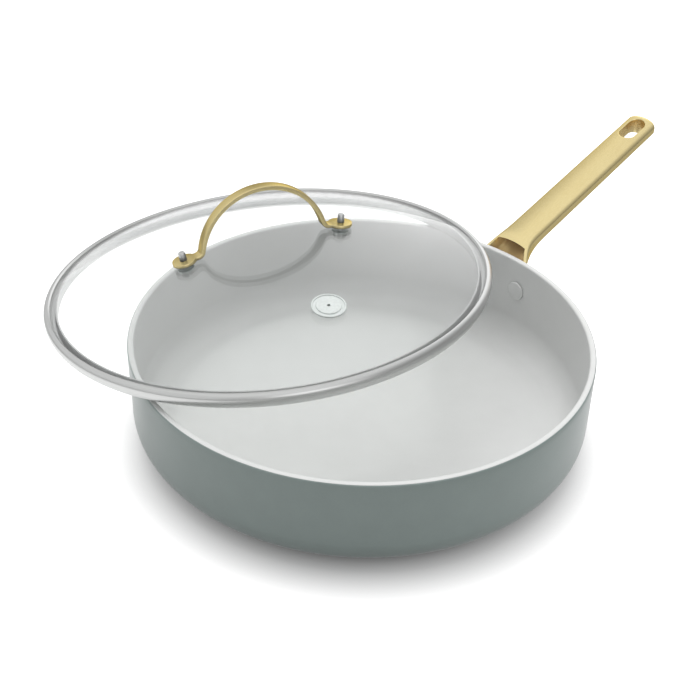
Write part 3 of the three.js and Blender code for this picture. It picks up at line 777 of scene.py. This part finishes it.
def handle_pad():
    """The riveted pad: rings of a round-cornered outline that shrink to the middle, on the wall's round and on
    the same round moved out by the pad's thickness, with an eased outer edge."""
    half, low = RIVET_SPREAD + PAD_MARGIN, PAN_HEIGHT - PAD_TOP_DROP - PAD_HEIGHT
    middle = np.array([0, low + PAD_HEIGHT / 2])
    reach = np.array([half - PAD_CORNER, PAD_HEIGHT / 2 - PAD_CORNER])
    corners = [arc(reach * np.array([a, b]), PAD_CORNER, turn, turn + 90, 12) for a, b, turn in QUARTERS]
    outline = np.concatenate([*corners, corners[0][:1]])
    share = np.linspace(1, 0, 9)[:, None, None]

    def at(plan, out):
        """Points of the plan on the wall's round moved out: x is the root of the squared radius less y squared."""
        y, z = np.moveaxis(plan + middle, -1, 0)
        return np.stack([np.sqrt((outer_radius(z) + out) ** 2 - y**2), y, z], -1)

    eased = outline * (1 - PAD_EDGE / np.linalg.norm(outline, axis=1))[:, None]
    near, far = at(outline * share, GAP), at(eased * share, GAP + PAD_THICKNESS)
    rise = at(outline, GAP + PAD_THICKNESS - PAD_EDGE)
    rim = bend(rise, at(outline, GAP + PAD_THICKNESS), far[0], 4)
    return [near, far, line(near[0], rise, 2), rim]


def pan_handle():
    """Both halves of the casting, joined with the pad."""
    left = handle_casting()
    grids = [*left, *(across(grid) for grid in left)]
    piece("handle_casting", "pan", "gold", ["pan_handle"], GOLD_BAR, grids, joins=[handle_pad()])


# Lid: shapes are made about its own axis, with the band's lowest circle at height nought, and then leaned

BAND_RADIUS = RIM_RADIUS
GLASS_RADIUS = BAND_RADIUS - BAND_SHOULDER + GLASS_LAP
DOME_RADIUS = (GLASS_RADIUS**2 + DOME_RISE**2) / (2 * DOME_RISE)
DOME_CENTRE = GLASS_EDGE_HEIGHT + DOME_RISE - DOME_RADIUS
FOOT_TURN = math.degrees(math.asin(FOOT_SPACING / 2 / DOME_RADIUS))
FOOT_BASE = GAP + WASHER + GAP
HEAD_BASE = FOOT_BASE + STRAP + GAP
UNDER_TOP = -GLASS - GAP
NUT_TOP = UNDER_TOP - WASHER - GAP
FEET = {"near": 180, "far": 0}


def leaned(grid):
    """Points of the lid where it leans: turned by its spin, tilted about the level line square to its lean, and
    set down so that its lowest circle crosses the top of the rim."""
    foot = BAND_RADIUS - BAND_CURL
    rim = RIM_RADIUS - RIM_ROUND
    crossing = (rim**2 - foot**2 + LID_SHIFT**2) / (2 * LID_SHIFT)
    height = PAN_HEIGHT + GAP + (crossing - LID_SHIFT) * tan(LID_TILT)
    level = tipped(swung(grid, LID_SPIN - LID_LEAN_TURN), LID_TILT)
    return swung(level + np.array([LID_SHIFT, 0, height]), LID_LEAN_TURN)


def on_dome(grid, distance, turn):
    """Points made about Z set square on the dome at a distance from the lid's axis."""
    lean = math.degrees(math.asin(distance / DOME_RADIUS))
    raised = tipped(grid + np.array([0, 0, DOME_RADIUS]), lean)
    return leaned(swung(raised + np.array([0, 0, DOME_CENTRE]), turn))


def ball(radius, distance):
    """Height of a ball about the dome's centre at a distance from the lid's axis."""
    return DOME_CENTRE + math.sqrt(radius**2 - distance**2)


def through_hole(radius, distance, turn):
    """A cylinder square to the dome, past the whole stack at a foot."""
    reach = HEAD_BASE - NUT_TOP
    profile = joined(
        line((0, -reach), (radius, -reach), 1), line((radius, -reach), (radius, reach), 1),
        line((radius, reach), (0, reach), 1),
    )
    return [on_dome(turned(profile, SMALL_ROUND), distance, turn)]


def bolt_holes():
    """The holes at both feet: cylinders a gap wider all round than the bolts."""
    return [through_hole(BOLT_RADIUS + GAP, FOOT_SPACING / 2, turn) for turn in FEET.values()]


def lid_glass():
    """The dome: two arcs about one centre, a glass's thickness apart, turned round the lid's axis."""
    centre, inside = (0, DOME_CENTRE), DOME_RADIUS - GLASS
    low, high = (math.degrees(math.acos(GLASS_RADIUS / radius)) for radius in (inside, DOME_RADIUS))
    under, over = arc(centre, inside, 90, low, 48), arc(centre, DOME_RADIUS, high, 90, 48)
    under[0, 0] = over[-1, 0] = 0
    holes = [*bolt_holes(), through_hole(VENT_TUBE_RADIUS + GAP, VENT_DISTANCE, VENT_TURN)]
    profile = joined(under, line(under[-1], over[0], 2), over)
    piece("lid_dome", "lid", "glass", ["lid_glass"], CLEAR, [leaned(turned(profile))], cuts=holes)


def lid_band():
    """The rolled band: a closed profile of sheet with a nose that slopes down to the glass, a shoulder, a wide
    curl and a return under the glass."""
    shoulder = np.array([BAND_RADIUS - BAND_SHOULDER, BAND_HEIGHT - BAND_SHOULDER])
    curl = (BAND_RADIUS - BAND_CURL, BAND_CURL)
    back = (curl[0], BAND_RETURN)
    seat = back[0] - BAND_RETURN
    rest = ball(DOME_RADIUS - GLASS, seat + BAND_SHEET) - GAP
    over = arc(shoulder, BAND_SHOULDER, 90, 0, 16)
    nose = shoulder[0] - BAND_NOSE
    lap = np.array([(reach, ball(DOME_RADIUS, reach) + BAND_SEAM) for reach in (GLASS_RADIUS, nose)])
    outside = joined(
        line(lap[1], over[0], 2), over,
        line((BAND_RADIUS, shoulder[1]), (BAND_RADIUS, curl[1]), 2), arc(curl, BAND_CURL, 0, -90, 24),
        arc(back, BAND_RETURN, -90, -180, 10), line((seat, back[1]), (seat, rest), 4),
    )
    inside = joined(
        line((seat, rest), (seat + BAND_SHEET, rest), 1),
        line((seat + BAND_SHEET, rest), (seat + BAND_SHEET, back[1]), 4),
        arc(back, BAND_RETURN - BAND_SHEET, -180, -90, 8), arc(curl, BAND_CURL - BAND_SHEET, -90, 0, 20),
        line((BAND_RADIUS - BAND_SHEET, curl[1]), lap[0], 2), lap,
    )
    piece("lid_rolled_band", "lid", "steel", ["lid_band"], STEEL, [leaned(turned(joined(outside, inside)))])


def strap_line():
    """The strap's middle line from the crest to one foot's end: an arch, a quadratic bend and a straight
    foot."""
    level = DOME_RADIUS + FOOT_BASE + STRAP / 2
    foot = np.array([level * sin(FOOT_TURN), DOME_CENTRE + level * cos(FOOT_TURN)])
    outward = np.array([cos(FOOT_TURN), -sin(FOOT_TURN)])
    radius = FOOT_SPACING / 2 - FOOT_REACH
    arch = arc((0, foot[1] + ARCH_RISE - radius), radius, 90, ARCH_SPREAD, 40)
    down = np.array([sin(ARCH_SPREAD), -cos(ARCH_SPREAD)])
    gap = foot - arch[-1]
    reach = (gap[0] * outward[1] - gap[1] * outward[0]) / (down[0] * outward[1] - down[1] * outward[0])
    corner = arch[-1] + down * reach
    start = corner + outward * reach
    length = (FOOT_SPACING / 2 + FOOT_RADIUS - start[0]) / outward[0]
    share = sin(np.linspace(0, 90, 33))[:, None]
    return joined(arch, bend(arch[-1], corner, start, 24), start + outward * length * share)


def lid_strap():
    """The strap: a flat round-edged section carried along the middle line, as wide and thick as the bar or, at
    the pressed feet, thinner and as wide as the circle of the foot seen from above."""
    half = strap_line()
    path = np.concatenate([half[:0:-1] * np.array([-1, 1]), half])
    way = np.gradient(path, axis=0)
    way /= np.linalg.norm(way, axis=1)[:, None]
    up = np.column_stack([-way[:, 1], way[:, 0]])
    past = np.abs(path[:, 0]) - FOOT_SPACING / 2
    circle = np.sqrt(np.maximum(FOOT_RADIUS**2 - past**2, 0))
    wide = np.where(past > 0, circle, np.maximum(circle, STRAP_WIDTH / 2))
    thick = np.interp(-past, [FOOT_RADIUS, FOOT_RADIUS + FOOT_REACH / 2], [STRAP, BAR])[:, None]
    edge = np.minimum(STRAP_EDGE, wide)
    quarter = np.linspace(0, 90, 5)
    sections = [
        np.stack([
            a * (wide - edge)[:, None] + edge[:, None] * cos(turn + quarter),
            b * (thick / 2 - STRAP_EDGE) + STRAP_EDGE * sin(turn + quarter) - (thick - STRAP) / 2,
        ], -1)
        for a, b, turn in QUARTERS
    ]
    loop = np.concatenate([*sections, sections[0][:, :1]], axis=1)
    flat = path[:, None] + up[:, None] * loop[..., 1:]
    grid = np.stack([flat[..., 0], loop[..., 0], flat[..., 1]], -1)
    piece("lid_strap_handle", "lid", "gold", ["lid_handle"], SHADED_GOLD_STRAP, [leaned(grid)], cuts=bolt_holes())


def washer(low):
    """A flat ring of round-edged section."""
    hole, high = BOLT_RADIUS + GAP, low + WASHER
    outside = WASHER_RADIUS - WASHER_EDGE
    return turned(joined(
        line((hole, low), (outside, low), 2), arc((outside, low + WASHER_EDGE), WASHER_EDGE, -90, 0, 4),
        line((WASHER_RADIUS, low + WASHER_EDGE), (WASHER_RADIUS, high - WASHER_EDGE), 1),
        arc((outside, high - WASHER_EDGE), WASHER_EDGE, 0, 90, 4), line((outside, high), (hole, high), 2),
        line((hole, high), (hole, low), 1),
    ), SMALL_ROUND)


def bolt():
    """A turned bolt: a shank through the stack and a capped head with a round crown."""
    end, crown = NUT_TOP - NUT - BOLT_STICK_OUT, HEAD_BASE + BOLT_HEAD
    edge = BOLT_HEAD_RADIUS - BOLT_CROWN
    return turned(joined(
        line((0, end), (BOLT_RADIUS, end), 1), line((BOLT_RADIUS, end), (BOLT_RADIUS, HEAD_BASE), 4),
        line((BOLT_RADIUS, HEAD_BASE), (BOLT_HEAD_RADIUS, HEAD_BASE), 1),
        line((BOLT_HEAD_RADIUS, HEAD_BASE), (BOLT_HEAD_RADIUS, crown - BOLT_CROWN), 2),
        arc((edge, crown - BOLT_CROWN), BOLT_CROWN, 0, 90, 10), line((edge, crown), (0, crown), 2),
    ), SMALL_ROUND)


def nut():
    """A hexagon nut: the radius at a turn is that of the flat facing it, cut back near both ends by a chamfer's
    cone."""
    sides, flat = 6, NUT_FLATS / 2
    corner = flat / cos(180 / sides)
    low, hole = NUT_TOP - NUT, BOLT_RADIUS + GAP
    turn = np.linspace(0, 360, sides * 16 + 1)
    hexagon = flat / cos((turn + 180 / sides) % (360 / sides) - 180 / sides)
    level = np.array([low, low, low + NUT_CHAMFER, NUT_TOP - NUT_CHAMFER, NUT_TOP, NUT_TOP, low])
    limit = np.array([hole, flat, corner, corner, flat, hole, hole])
    radius = np.minimum(limit[:, None], hexagon)
    height = np.broadcast_to(level[:, None], radius.shape)
    return np.stack([radius * cos(turn), radius * sin(turn), height], -1)


def steam_vent():
    """The vent: a turned profile of flange, tube, rolled rim, plate and a round-edged button with a steam
    hole."""
    under, brim = UNDER_TOP - VENT_SHEET, VENT_BUTTON_RADIUS - VENT_EDGE
    rim = (VENT_RADIUS - VENT_ROLL, GAP + VENT_ROLL)
    crest, plate, button = rim[1] + VENT_ROLL, GAP + VENT_PLATE, GAP + VENT_BUTTON
    return turned(joined(
        line((VENT_BORE_RADIUS, under), (VENT_FLANGE_RADIUS, under), 2),
        line((VENT_FLANGE_RADIUS, under), (VENT_FLANGE_RADIUS, UNDER_TOP), 1),
        line((VENT_FLANGE_RADIUS, UNDER_TOP), (VENT_TUBE_RADIUS, UNDER_TOP), 1),
        line((VENT_TUBE_RADIUS, UNDER_TOP), (VENT_TUBE_RADIUS, GAP), 3),
        line((VENT_TUBE_RADIUS, GAP), (rim[0], GAP), 2), arc(rim, VENT_ROLL, -90, 90, 12),
        bend((rim[0], crest), (VENT_PLATE_RADIUS, crest), (VENT_PLATE_RADIUS, plate), 5),
        line((VENT_PLATE_RADIUS, plate), (VENT_BUTTON_RADIUS, plate), 2),
        bend((VENT_BUTTON_RADIUS, plate), (VENT_BUTTON_RADIUS, button), (brim, button), 6),
        line((brim, button), (VENT_BORE_RADIUS, button), 4),
        line((VENT_BORE_RADIUS, button), (VENT_BORE_RADIUS, under), 4),
    ), SMALL_ROUND)


def lid_fittings():
    """The stack at each foot and the vent, each set square on the dome."""
    stack = {
        "lid_bolt": (bolt, "steel", STEEL),
        "foot_washer": (lambda: washer(GAP), "silicone", RUBBER),
        "glass_washer": (lambda: washer(UNDER_TOP - WASHER), "silicone", RUBBER),
        "lid_nut": (nut, "steel", STEEL),
    }
    for place, turn in FEET.items():
        for name, (shape, slot, finish) in stack.items():
            node = f"{name}_{place}"
            grid = on_dome(shape(), FOOT_SPACING / 2, turn)
            piece(node + "_turned", "lid", slot, [node], finish, [grid])
    vent = on_dome(steam_vent(), VENT_DISTANCE, VENT_TURN)
    piece("steam_vent_button", "lid", "silicone", ["steam_vent"], RUBBER, [vent])


pan()
for name, side in (("rivet_left", 1), ("rivet_right", -1)):
    rivet(name, side)
pan_handle()
lid_glass()
lid_band()
lid_strap()
lid_fittings()


# Studio: a white backdrop, a pale floor, a wall to mirror, two soft lamps and the photograph's camera

CAMERA_TARGET = (-4.737, 5.279, 49.83)
CAMERA_DISTANCE = 862.976
CAMERA_AZIMUTH = -48.1
CAMERA_ELEVATION = 34.758
CAMERA_ROLL = 2.099
CAMERA_LENS = 77.14
CAMERA_SENSOR = 36
FILL = 0.6
FLOOR_REACH = 4000
FLOOR_DROP = GAP / 3
# The floor's glow is faint round this centre, set towards the camera: a painted shadow round the pan's foot
GLOW_CENTRE = (-11, -10, 0)
GLOW_START = 96
GLOW_END = 162
GLOW_LOW = 0.04
GLOW_HIGH = 1.0
SHEET_CENTRE = (-54, 60, 0)
SHEET_START = 220
SHEET_END = 330
SHEET_SHARE = 0.8
WALL_DISTANCE = 1500
WALL_TOP = 3000
WALL_STEPS = 8
PANEL_LOW = 700
PANEL_TOP = 1900
PANEL_GLOW = 0.8


def studio_world():
    """A white backdrop for what is seen, and an even grey fill for what is lit."""
    world = bpy.data.worlds.new("studio")
    world.use_nodes = True
    tree = world.node_tree
    tree.nodes.clear()
    fill = add(tree, "Background", {"Color": colour("#ffffff"), "Strength": FILL})
    backdrop = add(tree, "Background", {"Color": colour("#ffffff"), "Strength": 1.0})
    both = add(tree, "MixShader", {
        0: seen_by(tree, "Camera", "Transmission", "Glossy"), 1: fill.outputs["Background"],
        2: backdrop.outputs["Background"],
    })
    add(tree, "OutputWorld", {"Surface": both.outputs["Shader"]})
    bpy.context.scene.world = world


def studio_floor():
    """A wide pale disc under the pan. It takes the shadow, and a glow that only seen rays meet brings its open
    parts to the backdrop's white. The glow is faint on a disc round a point just in front of the pan and
    stronger away from it, which paints a darker shadow round the pan, widest towards the camera. Mirrored
    rays meet the glow close to the pan only."""
    made, tree = new_finish("pale_studio_paper")
    paper = add(tree, "BsdfDiffuse", {"Color": colour("#a8a8a8")})
    place = add(tree, "TexCoord").outputs["Object"]
    away = add(tree, "VectorMath", {0: place, 1: np.array(GLOW_CENTRE) * MM}, operation="DISTANCE")
    # Painted shadow: the glow that whitens the floor fades out near the pan
    rise = add(tree, "MapRange", {
        "Value": away.outputs["Value"], "From Min": GLOW_START * MM, "From Max": GLOW_END * MM,
        "To Min": GLOW_LOW, "To Max": GLOW_HIGH,
    }, interpolation_type="SMOOTHSTEP")
    away = add(tree, "VectorMath", {0: place, 1: np.array(SHEET_CENTRE) * MM}, operation="DISTANCE")
    sheet = add(tree, "MapRange", {
        "Value": away.outputs["Value"], "From Min": SHEET_START * MM, "From Max": SHEET_END * MM,
        "To Min": SHEET_SHARE, "To Max": 0.0,
    }, interpolation_type="SMOOTHSTEP")
    mirrored = add(tree, "Math", {
        0: sheet.outputs["Result"], 1: seen_by(tree, "Glossy"),
    }, operation="MULTIPLY")
    seen = add(tree, "Math", {
        0: mirrored.outputs[0], 1: seen_by(tree, "Camera", "Transmission"),
    }, operation="MAXIMUM")
    strength = add(tree, "Math", {0: rise.outputs["Result"], 1: seen.outputs[0]}, operation="MULTIPLY")
    glow = add(tree, "Emission", {"Color": colour("#ffffff"), "Strength": strength.outputs[0]})
    both = add(tree, "AddShader", {0: paper.outputs["BSDF"], 1: glow.outputs["Emission"]})
    add(tree, "OutputMaterial", {"Surface": both.outputs["Shader"]})
    disc = turned(line((0, -FLOOR_DROP), (FLOOR_REACH, -FLOOR_DROP), 8), SMALL_ROUND)
    floor = placed("floor", mesh_of("floor", [disc]))
    floor.data.materials.append(made)


def studio_wall():
    """A grey wall round the studio that only mirrored rays meet: white above, and lower down in greys that change
    from the camera's left to its right, with a bright soft panel behind the pan to the right. It draws the darker
    lines along the metal pieces and the pale veil in the glass."""
    made, tree = new_finish("grey_studio_wall")
    place = add(tree, "TexCoord").outputs["Object"]
    height = add(tree, "SeparateXYZ", {"Vector": place}).outputs["Z"]
    right = (cos(CAMERA_AZIMUTH), sin(CAMERA_AZIMUTH), 0)
    aside = add(tree, "VectorMath", {0: place, 1: right}, operation="DOT_PRODUCT").outputs["Value"]
    share = add(tree, "MapRange", {
        "Value": aside, "From Min": -WALL_DISTANCE * MM, "From Max": WALL_DISTANCE * MM,
    })
    low = add(tree, "ValToRGB", {"Fac": share.outputs["Result"]})
    shade(low.color_ramp, (
        (0, "#f4f4f4"), (0.24, "#ececec"), (0.38, "#b4b4b4"),
        (0.54, "#f0f0f0"), (0.75, "#bcbcbc"), (1, "#8a8a8a"),
    ))
    panel = add(tree, "ValToRGB", {"Fac": share.outputs["Result"]})
    shade(panel.color_ramp, (
        (0, "#000000"), (0.46, "#000000"), (0.6, "#ffffff"),
        (0.76, "#ffffff"), (0.9, "#000000"), (1, "#000000"),
    ))
    tone = add(tree, "MapRange", {
        "Value": height, "From Max": WALL_TOP * MM, "To Min": low.outputs["Color"], "To Max": 1.0,
    })
    fade = add(tree, "MapRange", {
        "Value": height, "From Min": PANEL_LOW * MM, "From Max": PANEL_TOP * MM,
        "To Min": PANEL_GLOW, "To Max": 0.0,
    }, interpolation_type="SMOOTHSTEP")
    strength = add(tree, "Math", {
        0: panel.outputs["Color"], 1: fade.outputs["Result"], 2: tone.outputs["Result"],
    }, operation="MULTIPLY_ADD")
    light = add(tree, "Emission", {"Color": colour("#ffffff"), "Strength": strength.outputs[0]})
    add(tree, "OutputMaterial", {"Surface": light.outputs["Emission"]})
    rise = line((WALL_DISTANCE, 0), (WALL_DISTANCE, WALL_TOP), WALL_STEPS)
    wall = placed("wall", mesh_of("wall", [turned(rise, SMALL_ROUND)]))
    wall.data.materials.append(made)
    wall.visible_camera = wall.visible_diffuse = wall.visible_shadow = wall.visible_transmission = False


def studio_lamp(name, place, size, power):
    """A square soft lamp at a place, turned to the pan and not mirrored in it."""
    lamp = bpy.data.lights.new(name, "AREA")
    lamp.size, lamp.energy = size * MM, power
    holder = placed(name, lamp)
    holder.location = np.array(place) * MM
    holder.rotation_mode = "QUATERNION"
    holder.rotation_quaternion = (-holder.location).to_track_quat("-Z", "Y")
    holder.visible_glossy = holder.visible_transmission = False


def studio_camera():
    """The photograph's camera: at a distance from its target along a direction, and rolled a little about its
    view."""
    camera = bpy.data.cameras.new("camera")
    camera.lens, camera.sensor_width = CAMERA_LENS, CAMERA_SENSOR
    holder = placed("camera", camera)
    a, e, r = CAMERA_AZIMUTH, CAMERA_ELEVATION, CAMERA_ROLL
    back = np.array([sin(a) * cos(e), -cos(a) * cos(e), sin(e)])
    right = np.array([cos(a), sin(a), 0])
    up = np.cross(back, right)
    right, up = right * cos(r) + up * sin(r), up * cos(r) - right * sin(r)
    place = np.eye(4)
    place[:3, 0], place[:3, 1], place[:3, 2] = right, up, back
    place[:3, 3] = (np.array(CAMERA_TARGET) + back * CAMERA_DISTANCE) * MM
    holder.matrix_world = place.T.tolist()
    bpy.context.scene.camera = holder


studio_world()
studio_floor()
studio_wall()
studio_lamp("key_lamp", place=(250, 330, 1400), size=1300, power=20)
studio_lamp("side_lamp", place=(840, -925, 350), size=700, power=2.2)
studio_camera()
bpy.context.scene.view_settings.view_transform = "Standard"
